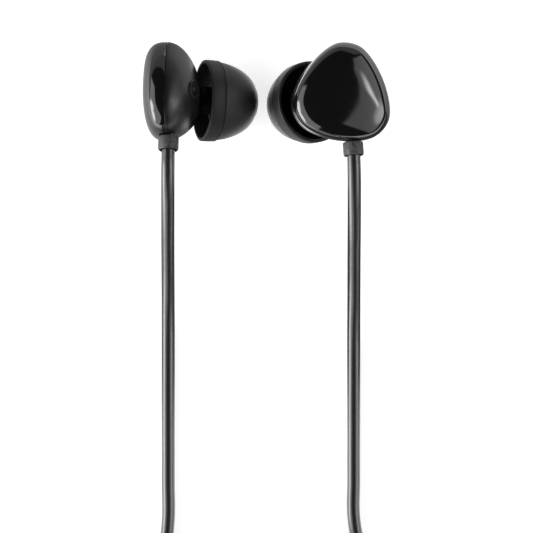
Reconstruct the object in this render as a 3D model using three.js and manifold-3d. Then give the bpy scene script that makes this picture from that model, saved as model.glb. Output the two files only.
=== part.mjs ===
// Wired in-ear earphones, laid flat on a table: two buds with angled nozzles and soft tips,
// two round cords to a Y-splitter, and a main cord to a 3.5 mm plug. Put-away lengths lie in coils.
// Millimetres, +Z up, the table at z = 0, origin below the middle of the pair of buds.
import * as THREE from "three";
import { mergeVertices } from "three/addons/utils/BufferGeometryUtils.js";
import ManifoldModule from "manifold-3d";

const kernel = await ManifoldModule();
kernel.setup();
const { Manifold, Mesh: SolidMesh } = kernel;

// Face outline of a bud: a rounded triangle, given by how far each side lies from the shell's axis.
// The waves are added once, twice and so on round the outline.
const FACE_RADIUS = 7.761;
const FACE_WAVES = [-2.2, 0.076, 0.678, 0, -0.033, -0.094];
const SHELL_WALL = 0.9;

// Glossy back cap.
const CAP_DEPTH = 3.705;
const CAP_FULLNESS = 2.824;
const SEAM_GAP = 0.12;
const LIP_CLEARANCE = 0.25;
const LIP_WALL = 0.55;
const LIP_HEIGHT = 0.6;

// Front housing, which narrows to a neck that turns onto the nozzle's axis.
const HOUSING_DEPTH = 4.56;
const TAPER_PART_USED = 0.9434;
const TAPER_START = 1.834;
const TAPER_END = 0.4045;
const NECK_BEND = 2.167;
const NECK_DROP = 2.504;
const NECK_OFFSET = 2.806;
const NOZZLE_TURN = 0.2958;

// Nozzle with a barb that holds the ear tip, and the wax screen inside it.
const NOZZLE_LENGTH = 6.4;
const NOZZLE_RADIUS = 2.2;
const NOZZLE_BORE = 1.6;
const BARB_RADIUS = 2.5;
const BARB_LENGTH = 1.4;
const SCREEN_CLEARANCE = 0.12;
const SCREEN_THICKNESS = 0.2;
const SCREEN_DEPTH = 0.35;
const SCREEN_HOLE = 0.22;
const SCREEN_HOLE_CIRCLE = 0.85;
const SCREEN_HOLES = 7;

// Silicone ear tip.
const TIP_START = 0.891;
const TIP_RADIUS = 6.433;
const TIP_LENGTH = 8.6;
const TIP_SKIRT_STRAIGHT = 0.9;
const TIP_CURVE_LENGTH = 7.825;
const TIP_CURVE_START = 1.844;
const TIP_CURVE_END = 0.3594;
const TIP_STEP_AT = 2.25;
const TIP_STEP = 0.12;
const TIP_RIM_WALL = 0.5;
const TIP_FRONT_WALL = 0.95;
const TIP_MOUTH = 1.95;
const TIP_MOUTH_DEPTH = 2.6;
const SLEEVE_CLEARANCE = 0.15;
const SLEEVE_WALL = 0.75;
const SLEEVE_START = 1.7;

// Dynamic driver, 9 mm across, on an axis parallel to the shell's.
const DRIVER_RADIUS = 4.5;
const DRIVER_DROP = 1.9;
const DRIVER_OFFSET = -0.4;
const DRIVER_FRONT = 1.9;
const DRIVER_GAP = 0.2;
const FRAME_WALL = 0.4;
const YOKE_RADIUS = 3;
const YOKE_WALL = 0.4;
const YOKE_DEPTH = 1.5;
const YOKE_RIM_AT = 0.5;
const MAGNET_RADIUS = 1.9;
const MAGNET_THICKNESS = 0.5;
const POLE_PLATE_THICKNESS = 0.35;
const COIL_CLEARANCE = 0.15;
const COIL_WALL = 0.3;
const COIL_HEIGHT = 0.95;
const DIAPHRAGM_THICKNESS = 0.12;
const DIAPHRAGM_RISE = 0.35;
const GASKET_THICKNESS = 0.35;
const GASKET_WIDTH = 0.7;
const SHELF_THICKNESS = 0.5;

// Cord and its way out of the bud.
const CORD_DIAMETER = 2.1;
const EXIT_ALONG = 0.533;
const EXIT_LEAN = 0.178;
const GROMMET_RADIUS = 1.6;
const GROMMET_LENGTH = 2.1;
const GROMMET_SEAT_GAP = 0.06;
const GROMMET_NECK = 1.1;
const GROMMET_NECK_LENGTH = 1.7;
const NECK_CLEARANCE = 0.25;
const CORD_CLEARANCE = 0.25;
const CORD_SOCKET = 1.3;
const ANCHOR_RADIUS = 1.1;
const ANCHOR_LENGTH = 1.1;
const END_GAP = 0.3;

// Round tactile mark on the housing: how far from seam to neck it sits, and where round the shell.
const MARK_PART = 0.78;
const MARK_ANGLE = 1.384;
const MARK_RADIUS = 1.5;
const MARK_RIM = 0.3;
const MARK_HEIGHT = 0.15;
const MARK_DOT = 0.35;

// Coils of put-away cord.
const TURN_PITCH = 2.6;
const LAYER_PITCH = 2.6;
const COIL_STEPS = 24;
const COIL_SIDES = 6;
const SIDE_COIL_RADIUS = 8.5;
const SIDE_COIL_TURNS = 3;
const MAIN_COIL_RADIUS = 15.2;
const MAIN_COIL_TURNS = 10.5;

// Y-splitter: a base and a cover around the three cord ends.
const SPLIT_LENGTH = 15;
const SPLIT_WIDTH = 7.4;
const SPLIT_NARROW = 4.6;
const SPLIT_HEIGHT = 4.4;
const SPLIT_INLET_SPACING = 3.4;
const SPLIT_SOCKET = 3.2;
const SPLIT_GAP = 0.08;
const SPLIT_EDGE = 0.5;
const PEG_RADIUS = 0.6;
const PEG_HEIGHT = 0.9;
const PEG_CLEARANCE = 0.15;

// Plug, 3.5 mm, three contacts.
const PIN_RADIUS = 1.75;
const PIN_GAP = 0.05;
const FLANGE_RADIUS = 2.5;
const FLANGE_THICKNESS = 0.8;
const SLEEVE_LENGTH = 6.2;
const INSULATOR_LENGTH = 0.7;
const RING_LENGTH = 2.3;
const PLUG_TIP_LENGTH = 4;
const GRIP_RADIUS = 2.9;
const GRIP_LENGTH = 15;
const RELIEF_LENGTH = 9;
const RELIEF_RADIUS = 2;
const RELIEF_RIBS = 4;
const RELIEF_TAPER = 0.1;
const RELIEF_NECK = 1.5;
const RELIEF_SEAT = 2.5;
const RELIEF_SOCKET = 6;
const GRIP_GROOVES = 4;
const GRIP_GROOVE = 0.8;

// Where each bud lies: the shell's centre, then its turns about X, Y and Z.
const LEFT_BUD = { place: [-15.561, 2.876, 9.49], turn: [-0.0803, -0.0218, -0.0148] };
const RIGHT_BUD = { place: [12.005, 2.572, 12.62], turn: [-0.1683, 1.8016, -0.1045] };

// Where the splitter, the plug and the coils lie on the table.
const SPLIT_PLACE = [0, -133];
const LEFT_COIL_CENTRE = [-9.75, -81];
const RIGHT_COIL_CENTRE = [9.75, -81];
const MAIN_COIL_CENTRE = [0, -169];
const PLUG_PLACE = [16.4, -123];

const FACE_STEPS = 32;
const CORD_RADIUS = CORD_DIAMETER / 2;
const CORD_BORE = CORD_RADIUS + CORD_CLEARANCE;
const EXIT_HOLE = GROMMET_NECK + NECK_CLEARANCE;
const SLEEVE_BORE = BARB_RADIUS + SLEEVE_CLEARANCE;
const TABLE_Z = CORD_RADIUS + 0.02;

const GLOSS = new THREE.MeshStandardMaterial({ color: 0x0b0b0c, roughness: 0.08, metalness: 0 });
const HOUSING = new THREE.MeshStandardMaterial({ color: 0x1f1f20, roughness: 0.55, metalness: 0 });
const SILICONE = new THREE.MeshStandardMaterial({ color: 0x222223, roughness: 0.6, metalness: 0 });
const GROMMET = new THREE.MeshStandardMaterial({ color: 0x3a3b3b, roughness: 0.7, metalness: 0 });
const CORD = new THREE.MeshStandardMaterial({ color: 0x171717, roughness: 0.35, metalness: 0 });
const STEEL = new THREE.MeshStandardMaterial({ color: 0x9a9c9e, roughness: 0.35, metalness: 1 });
const MAGNET = new THREE.MeshStandardMaterial({ color: 0x6f7276, roughness: 0.4, metalness: 0.9 });
const COPPER = new THREE.MeshStandardMaterial({ color: 0xb06a3a, roughness: 0.4, metalness: 1 });
const FILM = new THREE.MeshStandardMaterial({ color: 0xc9b48a, roughness: 0.3, metalness: 0 });
const FOAM = new THREE.MeshStandardMaterial({ color: 0x2c2c2e, roughness: 0.95, metalness: 0 });
const PLATED = new THREE.MeshStandardMaterial({ color: 0xd2d2cf, roughness: 0.2, metalness: 1 });

// --- building blocks -------------------------------------------------------------------------

// Joins rings of points into one closed skin: capped at both ends, or joined end to start.
function skinRings(rings, closed) {
  const count = rings[0].length;
  const points = rings.flat();
  const faces = [];
  const spans = closed ? rings.length : rings.length - 1;
  for (let i = 0; i < spans; i += 1) {
    const near = i * count;
    const far = ((i + 1) % rings.length) * count;
    for (let j = 0; j < count; j += 1) {
      const k = (j + 1) % count;
      faces.push(near + j, near + k, far + k, near + j, far + k, far + j);
    }
  }
  if (!closed) {
    capRing(points, faces, 0, count, true);
    capRing(points, faces, (rings.length - 1) * count, count, false);
  }
  const geometry = new THREE.BufferGeometry().setFromPoints(points);
  geometry.setIndex(faces);
  return facingOut(geometry);
}

function capRing(points, faces, start, count, first) {
  const centre = new THREE.Vector3();
  for (let j = 0; j < count; j += 1) centre.add(points[start + j]);
  const hub = points.push(centre.divideScalar(count)) - 1;
  for (let j = 0; j < count; j += 1) {
    const k = (j + 1) % count;
    if (first) faces.push(hub, start + k, start + j);
    else faces.push(hub, start + j, start + k);
  }
}

// Turns the faces of a closed skin so that they look outward.
function facingOut(geometry) {
  const at = geometry.getAttribute("position");
  const index = geometry.getIndex();
  const corner = [0, 1, 2].map(() => new THREE.Vector3());
  let volume = 0;
  for (let i = 0; i < index.count; i += 3) {
    corner.forEach((point, j) => point.fromBufferAttribute(at, index.getX(i + j)));
    volume += corner[0].dot(corner[1].clone().cross(corner[2]));
  }
  if (volume < 0) {
    for (let i = 0; i < index.count; i += 3) {
      const swap = index.getX(i + 1);
      index.setX(i + 1, index.getX(i + 2));
      index.setX(i + 2, swap);
    }
  }
  return geometry;
}

// Turns a closed profile of [radius, height] points about the Y axis.
function revolve(profile, segments) {
  const loop = profile.map(([radius, height]) => new THREE.Vector2(radius, height));
  loop.push(loop[0].clone());
  return facingOut(new THREE.LatheGeometry(loop, segments));
}

// The same about the Z axis, so that heights run along +Z.
function revolveZ(profile, segments) {
  return revolve(profile, segments).rotateX(Math.PI / 2);
}

// The same about the X axis, so that heights run along +X.
function revolveX(profile, segments) {
  return revolve(profile, segments).rotateZ(-Math.PI / 2);
}

function toSolid(geometry) {
  const bare = new THREE.BufferGeometry();
  bare.setAttribute("position", geometry.getAttribute("position").clone());
  if (geometry.getIndex()) bare.setIndex(geometry.getIndex().clone());
  const merged = mergeVertices(bare, 1e-4);
  const faces = [];
  const index = merged.getIndex();
  for (let i = 0; i < index.count; i += 3) {
    const [a, b, c] = [index.getX(i), index.getX(i + 1), index.getX(i + 2)];
    if (a !== b && b !== c && c !== a) faces.push(a, b, c);
  }
  merged.setIndex(faces);
  facingOut(merged);
  const mesh = new SolidMesh({
    numProp: 3,
    vertProperties: Float32Array.from(merged.getAttribute("position").array),
    triVerts: Uint32Array.from(merged.getIndex().array),
  });
  mesh.merge();
  return new Manifold(mesh);
}

function toGeometry(solid) {
  const mesh = solid.getMesh();
  const geometry = new THREE.BufferGeometry();
  geometry.setAttribute("position", new THREE.BufferAttribute(mesh.vertProperties, 3));
  geometry.setIndex(new THREE.BufferAttribute(mesh.triVerts, 1));
  return geometry;
}

function cut(geometry, ...tools) {
  return toGeometry(tools.reduce((body, tool) => body.subtract(toSolid(tool)), toSolid(geometry)));
}

function join(geometry, ...others) {
  return toGeometry(others.reduce((body, other) => body.add(toSolid(other)), toSolid(geometry)));
}

function overlap(geometry, other) {
  return toGeometry(toSolid(geometry).intersect(toSolid(other)));
}

function rod(radius, length, segments = 24) {
  return new THREE.CylinderGeometry(radius, radius, length, segments);
}

function addPiece(group, name, geometry, material) {
  const mesh = new THREE.Mesh(geometry, material);
  mesh.name = name;
  group.add(mesh);
  return mesh;
}

// --- shell of a bud ----------------------------------------------------------------------------

// One point of the face outline, scaled and then set in by a wall.
function facePoint(angle, scale, inset, round) {
  let reach = FACE_RADIUS;
  let slope = 0;
  FACE_WAVES.forEach((size, i) => {
    reach += size * Math.cos((i + 1) * angle);
    slope -= size * (i + 1) * Math.sin((i + 1) * angle);
  });
  const up = reach * Math.cos(angle) - slope * Math.sin(angle);
  const side = reach * Math.sin(angle) + slope * Math.cos(angle);
  const upRound = THREE.MathUtils.lerp(up, FACE_RADIUS * Math.cos(angle), round);
  const sideRound = THREE.MathUtils.lerp(side, FACE_RADIUS * Math.sin(angle), round);
  return [scale * upRound - inset * Math.cos(angle), scale * sideRound - inset * Math.sin(angle)];
}

// A point of the shell at a distance along its axis, straight or turned toward the nozzle.
function shellPoint(angle, along, scale, inset, bend = 0) {
  const [up, side] = facePoint(angle, scale, inset, bend);
  return new THREE.Vector3(
    along + side * Math.sin(NOZZLE_TURN * bend),
    up - NECK_DROP * bend,
    side * Math.cos(NOZZLE_TURN * bend) - NECK_OFFSET * bend,
  );
}

function ringOf(pointAt) {
  return Array.from({ length: FACE_STEPS }, (_, i) => pointAt((i / FACE_STEPS) * 2 * Math.PI));
}

function shellRing(along, scale, inset) {
  return ringOf((angle) => shellPoint(angle, along, scale, inset));
}

// A point of the housing, from the seam (part 0) to the neck (part 1).
function housingPoint(angle, part, inset) {
  const scale = (1 - (TAPER_PART_USED * part) ** TAPER_START) ** TAPER_END;
  const along = SEAM_GAP / 2 + (HOUSING_DEPTH - SEAM_GAP / 2) * part;
  return shellPoint(angle, along, scale, inset, part ** NECK_BEND);
}

function housingRing(part, inset) {
  return ringOf((angle) => housingPoint(angle, part, inset));
}

// A closed dome from the seam to its pole; the inner face is the same dome, smaller by the wall.
function capGeometry() {
  const outer = [];
  const inner = [];
  const rise = CAP_DEPTH - SEAM_GAP / 2;
  const bow = 2 / CAP_FULLNESS;
  for (const part of [0, 0.16, 0.34, 0.5, 0.66, 0.8, 0.92]) {
    const width = Math.cos((part * Math.PI) / 2) ** bow;
    const height = Math.sin((part * Math.PI) / 2) ** bow;
    outer.push(shellRing(-SEAM_GAP / 2 - rise * height, width, 0));
    const ring = shellRing(-SEAM_GAP / 2 - (rise - SHELL_WALL) * height, 1, SHELL_WALL);
    ring.forEach((point) => point.set(point.x, point.y * width, point.z * width));
    inner.push(ring);
  }
  return cut(skinRings([...outer.reverse(), ...inner], false), exitHole());
}

// Hole for the grommet's neck, half in the cap and half in the housing.
function exitHole() {
  return atExit(rod(EXIT_HOLE, 6, 16));
}

// Places a shape built along -Y at the cord's exit, square to the face outline there.
function atExit(geometry) {
  const [up, side] = facePoint(Math.PI - EXIT_LEAN, 1, 0, 0);
  return geometry.rotateX(-EXIT_LEAN).translate(EXIT_ALONG, up, side);
}

// Rings square to the nozzle's axis, for its outer face and its bore.
function nozzleRing(distance, radius) {
  return ringOf((angle) => alongNozzle(
    new THREE.Vector3(distance, radius * Math.cos(angle), radius * Math.sin(angle)),
  ));
}

function alongNozzle(point) {
  return point.applyAxisAngle(new THREE.Vector3(0, 1, 0), NOZZLE_TURN)
    .add(new THREE.Vector3(HOUSING_DEPTH, -NECK_DROP, -NECK_OFFSET));
}

function nozzleOuterRings() {
  const barbStart = NOZZLE_LENGTH - BARB_LENGTH;
  return [
    nozzleRing(0.4, NOZZLE_RADIUS),
    nozzleRing(barbStart, NOZZLE_RADIUS),
    nozzleRing(barbStart + 0.15, BARB_RADIUS),
    nozzleRing(NOZZLE_LENGTH - 0.5, BARB_RADIUS),
    nozzleRing(NOZZLE_LENGTH, NOZZLE_RADIUS),
    nozzleRing(NOZZLE_LENGTH, NOZZLE_BORE),
    nozzleRing(0.2, NOZZLE_BORE),
  ];
}

function housingGeometry() {
  const outer = [0, 0.14, 0.3, 0.45, 0.6, 0.73, 0.84, 0.93, 1].map((part) => housingRing(part, 0));
  const inner = [1, 0.86, 0.66, 0.42, 0].map((part) => housingRing(part, SHELL_WALL));
  const shell = skinRings([...outer, ...nozzleOuterRings(), ...inner], true);
  return cut(join(shell, seamLip(), driverShelf(), mark()), exitHole());
}

// Thin lip on the housing that centres the cap.
function seamLip() {
  const inset = SHELL_WALL + LIP_CLEARANCE;
  const start = SEAM_GAP / 2 + 0.5;
  return skinRings([
    shellRing(start, 1, SHELL_WALL - 0.2),
    shellRing(start - 0.4, 1, inset),
    shellRing(-SEAM_GAP / 2 - LIP_HEIGHT, 1, inset),
    shellRing(-SEAM_GAP / 2 - LIP_HEIGHT, 1, inset + LIP_WALL),
    shellRing(start, 1, inset + LIP_WALL),
  ], true);
}

// Flat shelf inside the housing that the driver's gasket rests on.
function driverShelf() {
  const start = DRIVER_FRONT + DRIVER_GAP + GASKET_THICKNESS + DRIVER_GAP / 2;
  const parts = [0.2, 0.45, 0.7];
  const core = skinRings(parts.map((part) => housingRing(part, SHELL_WALL / 2)), false);
  const plate = revolveX([
    [DRIVER_RADIUS - GASKET_WIDTH, start],
    [FACE_RADIUS * 1.5, start],
    [FACE_RADIUS * 1.5, start + SHELF_THICKNESS],
    [DRIVER_RADIUS - GASKET_WIDTH, start + SHELF_THICKNESS],
  ], 24);
  return overlap(core, plate.translate(0, -DRIVER_DROP, DRIVER_OFFSET));
}

// Low round rim with a raised dot, on the shoulder beside the nozzle.
function mark() {
  const at = housingPoint(MARK_ANGLE, MARK_PART, 0);
  const nextAlong = housingPoint(MARK_ANGLE, MARK_PART + 0.02, 0).sub(at);
  const nextRound = housingPoint(MARK_ANGLE + 0.05, MARK_PART, 0).sub(at);
  const outward = nextAlong.cross(nextRound).normalize();
  if (outward.x < 0) outward.negate();
  const disc = revolve([
    [0, -0.5], [MARK_RADIUS, -0.5], [MARK_RADIUS, MARK_HEIGHT],
    [MARK_RADIUS - MARK_RIM, MARK_HEIGHT], [MARK_RADIUS - MARK_RIM, 0.03],
    [MARK_DOT, 0.03], [MARK_DOT * 0.7, MARK_HEIGHT], [0, MARK_HEIGHT],
  ], 20);
  const turn = new THREE.Quaternion().setFromUnitVectors(new THREE.Vector3(0, 1, 0), outward);
  return disc.applyQuaternion(turn).translate(at.x, at.y, at.z);
}

// --- pieces in and on a bud --------------------------------------------------------------------

function onNozzle(geometry) {
  return geometry.rotateY(NOZZLE_TURN).translate(HOUSING_DEPTH, -NECK_DROP, -NECK_OFFSET);
}

function tipOuterRadius(distance) {
  const along = Math.max(distance - TIP_SKIRT_STRAIGHT, 0) / TIP_CURVE_LENGTH;
  const step = distance > TIP_STEP_AT ? TIP_STEP : 0;
  return TIP_RADIUS * (1 - along ** TIP_CURVE_START) ** TIP_CURVE_END - step;
}

// Mushroom of soft silicone: skirt, step line, mouth, and the sleeve that grips the nozzle.
function earTipGeometry() {
  const outer = [0.25, TIP_SKIRT_STRAIGHT, 1.7, TIP_STEP_AT, TIP_STEP_AT + 0.06, 3.4, 4.5, 5.5, 6.4, 7.2, 7.8, 8.15]
    .map((distance) => [tipOuterRadius(distance), distance]);
  const mouth = [
    [TIP_MOUTH + 0.5, TIP_LENGTH - 0.16],
    [TIP_MOUTH + 0.2, TIP_LENGTH],
    [TIP_MOUTH, TIP_LENGTH - 0.2],
    [TIP_MOUTH, TIP_LENGTH - TIP_MOUTH_DEPTH],
  ];
  const sleeve = [
    [SLEEVE_BORE, TIP_LENGTH - TIP_MOUTH_DEPTH],
    [SLEEVE_BORE, SLEEVE_START],
    [SLEEVE_BORE + SLEEVE_WALL, SLEEVE_START],
    [SLEEVE_BORE + SLEEVE_WALL, 5.6],
  ];
  const inner = [6.1, 5.2, 4, 2.4, 0].map((distance) => {
    const wall = TIP_RIM_WALL + (TIP_FRONT_WALL - TIP_RIM_WALL) * (distance / 6.1);
    return [tipOuterRadius(distance) - wall, distance];
  });
  const rim = [[tipOuterRadius(0) - 0.12, 0]];
  const tip = revolveX([...outer, ...mouth, ...sleeve, ...inner, ...rim], 26);
  return onNozzle(tip.translate(TIP_START, 0, 0));
}

// Perforated disc near the mouth of the nozzle.
function screenGeometry() {
  const disc = rod(NOZZLE_BORE - SCREEN_CLEARANCE, SCREEN_THICKNESS, 18);
  const holes = [];
  for (let i = 0; i < SCREEN_HOLES; i += 1) {
    const angle = (i / SCREEN_HOLES) * 2 * Math.PI;
    const hole = rod(SCREEN_HOLE, 1, 5);
    holes.push(hole.translate(SCREEN_HOLE_CIRCLE * Math.cos(angle), 0, SCREEN_HOLE_CIRCLE * Math.sin(angle)));
  }
  holes.push(rod(SCREEN_HOLE, 1, 5));
  const flat = cut(disc, ...holes).rotateZ(-Math.PI / 2);
  return onNozzle(flat.translate(NOZZLE_LENGTH - SCREEN_DEPTH, 0, 0));
}

function driverPart(profile, segments = 16) {
  return revolveX(profile, segments).translate(0, -DRIVER_DROP, DRIVER_OFFSET);
}

function driverFrameGeometry() {
  const inner = YOKE_RADIUS + DRIVER_GAP;
  return driverPart([
    [DRIVER_RADIUS, DRIVER_FRONT],
    [DRIVER_RADIUS, DRIVER_FRONT - 0.7],
    [inner + FRAME_WALL, YOKE_RIM_AT - 0.2],
    [inner + FRAME_WALL, YOKE_RIM_AT - 0.8],
    [inner, YOKE_RIM_AT - 0.8],
    [inner, YOKE_RIM_AT],
    [DRIVER_RADIUS - FRAME_WALL, DRIVER_FRONT - 0.8],
    [DRIVER_RADIUS - FRAME_WALL, DRIVER_FRONT],
  ]);
}

function yokeGeometry() {
  const back = YOKE_RIM_AT - YOKE_DEPTH;
  return driverPart([
    [0, back],
    [YOKE_RADIUS, back],
    [YOKE_RADIUS, YOKE_RIM_AT],
    [YOKE_RADIUS - YOKE_WALL, YOKE_RIM_AT],
    [YOKE_RADIUS - YOKE_WALL, back + YOKE_WALL],
    [0, back + YOKE_WALL],
  ]);
}

function magnetGeometry() {
  const back = YOKE_RIM_AT - YOKE_DEPTH + YOKE_WALL + DRIVER_GAP;
  return driverPart(plate(MAGNET_RADIUS, back, MAGNET_THICKNESS));
}

function polePlateGeometry() {
  const back = YOKE_RIM_AT - YOKE_DEPTH + YOKE_WALL + DRIVER_GAP * 2 + MAGNET_THICKNESS;
  return driverPart(plate(MAGNET_RADIUS, back, POLE_PLATE_THICKNESS));
}

function plate(radius, start, thickness) {
  return [[0, start], [radius, start], [radius, start + thickness], [0, start + thickness]];
}

function voiceCoilGeometry() {
  const inner = MAGNET_RADIUS + COIL_CLEARANCE;
  const front = DRIVER_FRONT - DIAPHRAGM_RISE - DIAPHRAGM_THICKNESS - 0.3;
  return driverPart([
    [inner, front - COIL_HEIGHT],
    [inner + COIL_WALL, front - COIL_HEIGHT],
    [inner + COIL_WALL, front],
    [inner, front],
  ]);
}

// Film with a centre dome and a rolled surround.
function diaphragmGeometry() {
  const edge = DRIVER_RADIUS - FRAME_WALL - DRIVER_GAP;
  const seat = MAGNET_RADIUS + COIL_CLEARANCE + COIL_WALL / 2;
  const low = DRIVER_FRONT - DIAPHRAGM_RISE - 0.22;
  const front = [
    [0, low + DIAPHRAGM_RISE], [seat * 0.6, low + DIAPHRAGM_RISE * 0.7], [seat, low],
    [(seat + edge) / 2, low + DIAPHRAGM_RISE * 0.6], [edge, low],
  ];
  const back = front.map(([radius, height]) => [radius, height - DIAPHRAGM_THICKNESS]).reverse();
  return driverPart([...front, ...back]);
}

function gasketGeometry() {
  const start = DRIVER_FRONT + DRIVER_GAP / 2;
  return driverPart([
    [DRIVER_RADIUS - GASKET_WIDTH, start],
    [DRIVER_RADIUS, start],
    [DRIVER_RADIUS, start + GASKET_THICKNESS],
    [DRIVER_RADIUS - GASKET_WIDTH, start + GASKET_THICKNESS],
  ]);
}

// Short sleeve below the bud; its neck goes up through the hole between cap and housing.
function grommetGeometry() {
  const top = -GROMMET_SEAT_GAP;
  const bottom = top - GROMMET_LENGTH;
  const socket = bottom + CORD_SOCKET;
  return atExit(revolve([
    [GROMMET_RADIUS - 0.06, top],
    [GROMMET_RADIUS, top - 0.2],
    [GROMMET_RADIUS, bottom + 0.3],
    [GROMMET_RADIUS - 0.12, bottom],
    [CORD_BORE, bottom],
    [CORD_BORE, socket],
    [GROMMET_NECK * 0.5, socket],
    [GROMMET_NECK * 0.5, top + GROMMET_NECK_LENGTH],
    [GROMMET_NECK, top + GROMMET_NECK_LENGTH],
    [GROMMET_NECK, top],
  ], 16));
}

// Crimp inside the shell that keeps the cord from being pulled out.
function anchorGeometry() {
  const start = GROMMET_NECK_LENGTH - GROMMET_SEAT_GAP + 0.15;
  return atExit(revolve(plate(ANCHOR_RADIUS, start, ANCHOR_LENGTH), 14));
}

function bud(side, { place, turn }) {
  const group = new THREE.Group();
  group.position.set(...place);
  group.rotation.set(...turn, "ZXY");
  addPiece(group, `${side}_back_cap`, capGeometry(), GLOSS);
  addPiece(group, `${side}_front_housing`, housingGeometry(), HOUSING);
  addPiece(group, `${side}_ear_tip`, earTipGeometry(), SILICONE);
  addPiece(group, `${side}_nozzle_screen`, screenGeometry(), STEEL);
  addPiece(group, `${side}_driver_frame`, driverFrameGeometry(), HOUSING);
  addPiece(group, `${side}_driver_yoke`, yokeGeometry(), STEEL);
  addPiece(group, `${side}_driver_magnet`, magnetGeometry(), MAGNET);
  addPiece(group, `${side}_pole_plate`, polePlateGeometry(), STEEL);
  addPiece(group, `${side}_voice_coil`, voiceCoilGeometry(), COPPER);
  addPiece(group, `${side}_diaphragm`, diaphragmGeometry(), FILM);
  addPiece(group, `${side}_driver_gasket`, gasketGeometry(), FOAM);
  addPiece(group, `${side}_cord_grommet`, grommetGeometry(), GROMMET);
  addPiece(group, `${side}_cord_anchor`, anchorGeometry(), STEEL);
  return group;
}

// --- cords -------------------------------------------------------------------------------------

// Sweeps a round section along points that run mostly level.
function sweepCord(points, sides) {
  const up = new THREE.Vector3(0, 0, 1);
  const rings = points.map((point, i) => {
    const before = points[Math.max(i - 1, 0)];
    const after = points[Math.min(i + 1, points.length - 1)];
    const ahead = after.clone().sub(before).normalize();
    const across = up.clone().cross(ahead).normalize();
    const above = ahead.clone().cross(across);
    const ring = [];
    for (let j = 0; j < sides; j += 1) {
      const angle = ((j + 0.5) / sides) * 2 * Math.PI;
      ring.push(point.clone()
        .addScaledVector(across, CORD_RADIUS * Math.cos(angle))
        .addScaledVector(above, CORD_RADIUS * Math.sin(angle)));
    }
    return ring;
  });
  return skinRings(rings, false);
}

function routeCord(route, step = 4.6) {
  const curve = new THREE.CatmullRomCurve3(route.map((point) => new THREE.Vector3(...point)));
  const count = Math.ceil(curve.getLength() / step);
  return sweepCord(curve.getSpacedPoints(count), 8);
}

// Points of a coil that spirals in and out, a layer higher after each turn-round.
function coilPoints({ centre, radius, turns, layers, start, spin }) {
  const turnsPerLayer = turns / layers;
  const points = [];
  const steps = Math.round(turns * COIL_STEPS);
  for (let i = 0; i <= steps; i += 1) {
    const turn = (i / steps) * turns;
    const layer = Math.min(Math.floor(turn / turnsPerLayer), layers - 1);
    const within = turn - layer * turnsPerLayer;
    const inward = layer % 2 === 0 ? within : turnsPerLayer - within;
    const reach = radius - TURN_PITCH * inward;
    let height = TABLE_Z;
    for (let k = 1; k < layers; k += 1) {
      height += LAYER_PITCH * THREE.MathUtils.smoothstep(turn - k * turnsPerLayer, -0.25, 0.25);
    }
    const angle = start + spin * turn * 2 * Math.PI;
    points.push(new THREE.Vector3(
      centre[0] + reach * Math.cos(angle), centre[1] + reach * Math.sin(angle), height,
    ));
  }
  return withStraightEnds(points);
}

function withStraightEnds(points) {
  const [first, second] = points;
  const [beforeLast, last] = points.slice(-2);
  const lead = first.clone().add(first.clone().sub(second).setLength(CORD_DIAMETER));
  const tail = last.clone().add(last.clone().sub(beforeLast).setLength(CORD_DIAMETER));
  return [lead, ...points, tail];
}

// Least clear gap between turns, measured on the points of the coil.
function leastGap(points) {
  let least = Infinity;
  const apart = Math.round(COIL_STEPS / 2);
  for (let i = 0; i < points.length; i += 1) {
    for (let j = i + apart; j < points.length; j += 1) {
      least = Math.min(least, points[i].distanceTo(points[j]));
    }
  }
  return least - CORD_DIAMETER;
}

const SIDE_COIL = { radius: SIDE_COIL_RADIUS, turns: SIDE_COIL_TURNS, layers: 4 };
const LEFT_COIL = { ...SIDE_COIL, centre: LEFT_COIL_CENTRE, start: Math.PI, spin: 1 };
const RIGHT_COIL = { ...SIDE_COIL, centre: RIGHT_COIL_CENTRE, start: 0, spin: -1 };
const MAIN_COIL = {
  centre: MAIN_COIL_CENTRE, radius: MAIN_COIL_RADIUS, turns: MAIN_COIL_TURNS,
  layers: 4, start: Math.PI, spin: 1,
};

// Cord routes: out of a grommet or the splitter, over the table, to the end that each meets.
const LEFT_RUN = [
  [-15.23, -6.87, 13.07], [-15.25, -8.6, 13.53], [-15.28, -11, 13.9], [-15.32, -14.5, 13.25],
  [-15.41, -19, 10.7], [-15.52, -24, 7], [-15.6, -29, 3.75], [-15.64, -34.5, 1.7],
  [-15.66, -41, 1.08], [-15.66, -50, 1.07], [-15.66, -60, 1.07], [-15.72, -67.6, 1.07],
  [-16.4, -71.8, 1.07], [-17.6, -75.6, 1.07], [-18.25, -78.6, 1.07],
];
const RIGHT_RUN = [
  [13.52, -7.69, 13.16], [13.61, -9.4, 13.37], [13.67, -12, 13.45], [13.7, -15.5, 12.85],
  [13.75, -20, 10.8], [13.82, -25, 7.3], [13.9, -30, 4.1], [13.94, -35.5, 1.9],
  [13.96, -42, 1.1], [13.96, -51, 1.07], [13.96, -60, 1.07], [14.05, -67, 1.07],
  [15.0, -71, 1.07], [16.9, -74.9, 1.07], [18.2, -78.6, 1.07],
];
const LEFT_TAIL = [
  [-18.25, -83.4, 8.87], [-18.25, -86, 8.75], [-18.1, -90, 7.6], [-17.7, -95, 5],
  [-16.9, -100, 2.5], [-15.2, -105, 1.25], [-12.4, -110, 1.07], [-8.8, -114.5, 1.15],
  [-5.2, -118.3, 1.5], [-2.7, -122, 2], [-1.75, -125.6, 2.2], [-1.7, -128.4, 2.2],
];
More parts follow.
